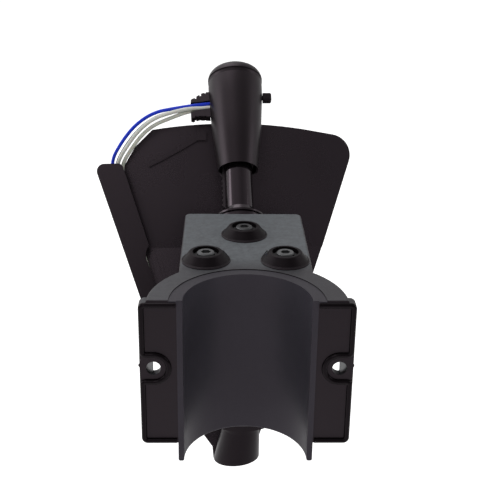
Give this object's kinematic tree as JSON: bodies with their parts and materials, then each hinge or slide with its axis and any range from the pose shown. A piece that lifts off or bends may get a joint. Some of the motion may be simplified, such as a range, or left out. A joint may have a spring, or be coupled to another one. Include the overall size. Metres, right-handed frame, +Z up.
{
  "type": "rail-mounted bilge pump",
  "caption": "Rail-clamped bilge pump: half-round saddle with screwed block, swivelling pump barrel, angled outlet with rubber sleeve, fan-shaped splash plate and cabled channel.",
  "frame": {"origin": "middle of the clamp bore, on its axis", "axes": "+Z up along the clamp bore, +Y from the bore towards the pump behind the rail, +X to the right seen from the bore's open side"},
  "size_m": [0.162, 0.2188, 0.232],
  "materials": {
    "mount_body": "satin black moulded plastic",
    "saddle_liner": "satin black moulded plastic",
    "flange_bead": "glossy black elastomer bead",
    "anchor_plates": "plain steel",
    "bearing_block": "moulded plastic",
    "thread_inserts": "turned",
    "screw_washers": "dark steel",
    "cover_screws": "black coated steel",
    "swivel_bush": "natural acetal",
    "outlet_head": "moulded plastic",
    "pivot_washer": "stainless",
    "pivot_screw": "stainless",
    "arm_tube": "polished black",
    "arm_collar": "polished black",
    "outlet_sleeve": "satin black elastomer",
    "flow_sensor": "potted sensor",
    "gland_grommet": "black elastomer",
    "gland_jaws": "moulded plastic",
    "head_seal": "flat gasket",
    "pump_barrel": "moulded plastic",
    "barrel_grommet": "black elastomer",
    "motor_cradle": "moulded plastic",
    "motor_can": "drawn steel can",
    "motor_cap": "moulded plastic",
    "motor_magnets": "sintered ferrite",
    "shaft_seal": "lip seal",
    "intake_tube": "satin black moulded plastic",
    "intake_strainer": "pressed stainless",
    "barrel_screws": "stainless",
    "fan_plate": "glossy black sheet",
    "plate_bracket": "moulded plastic",
    "foot_block": "rubber pad",
    "bracket_screws": "stainless",
    "cable_channel": "glossy black extrusion",
    "channel_clips": "moulded plastic",
    "clip_screws": "stainless",
    "plate_tie": "black nylon",
    "tube_tie": "black nylon",
    "wire_blue": "blue insulation",
    "wire_white": "off-white insulation",
    "wire_grey": "light grey insulation",
    "wire_black": "black insulation",
    "paddle_pin": "stainless",
    "motor_shaft": "ground steel",
    "rotor_core": "laminated steel",
    "impeller": "moulded plastic",
    "clamp_knob": "moulded plastic",
    "flow_paddle": "thin brass flap"
  },
  "bodies": {
    "saddle": {"mount_body": "mount_body", "saddle_liner": "saddle_liner", "flange_bead": "flange_bead", "anchor_plates": "anchor_plates", "bearing_block": "bearing_block", "thread_inserts": "thread_inserts", "screw_washers": "screw_washers", "cover_screws": "cover_screws", "swivel_bush": "swivel_bush"},
    "tail": {"outlet_head": "outlet_head", "pivot_washer": "pivot_washer", "pivot_screw": "pivot_screw", "arm_tube": "arm_tube", "arm_collar": "arm_collar", "outlet_sleeve": "outlet_sleeve", "flow_sensor": "flow_sensor", "gland_grommet": "gland_grommet", "gland_jaws": "gland_jaws", "head_seal": "head_seal", "pump_barrel": "pump_barrel", "barrel_grommet": "barrel_grommet", "motor_cradle": "motor_cradle", "motor_can": "motor_can", "motor_cap": "motor_cap", "motor_magnets": "motor_magnets", "shaft_seal": "shaft_seal", "intake_tube": "intake_tube", "intake_strainer": "intake_strainer", "barrel_screws": "barrel_screws", "fan_plate": "fan_plate", "plate_bracket": "plate_bracket", "foot_block": "foot_block", "bracket_screws": "bracket_screws", "cable_channel": "cable_channel", "channel_clips": "channel_clips", "clip_screws": "clip_screws", "plate_tie": "plate_tie", "tube_tie": "tube_tie", "wire_blue": "wire_blue", "wire_white": "wire_white", "wire_grey": "wire_grey", "wire_black": "wire_black", "paddle_pin": "paddle_pin"},
    "rotor": {"motor_shaft": "motor_shaft", "rotor_core": "rotor_core", "impeller": "impeller"},
    "knob": {"clamp_knob": "clamp_knob"},
    "paddle": {"flow_paddle": "flow_paddle"}
  },
  "joints": [
    {"name": "swivel", "type": "hinge", "parent": "saddle", "child": "tail", "pos_m": [0, 0.1, 0], "axis": [0, 0, 1], "range_deg": [-26, 21]},
    {"name": "impeller_spin", "type": "hinge", "parent": "tail", "child": "rotor", "pos_m": [0, 0.1, -0.05], "axis": [0, 0, 1], "continuous": true},
    {"name": "knob_turn", "type": "hinge", "parent": "tail", "child": "knob", "pos_m": [0.01618, 0.19541, 0.09208], "axis": [0.9992, 0.0401, 0], "range_deg": [-180, 180]},
    {"name": "paddle_swing", "type": "hinge", "parent": "tail", "child": "paddle", "pos_m": [-0.00331, 0.18231, 0.08642], "axis": [0.9992, 0.0401, 0], "range_deg": [0, 55]}
  ]
}
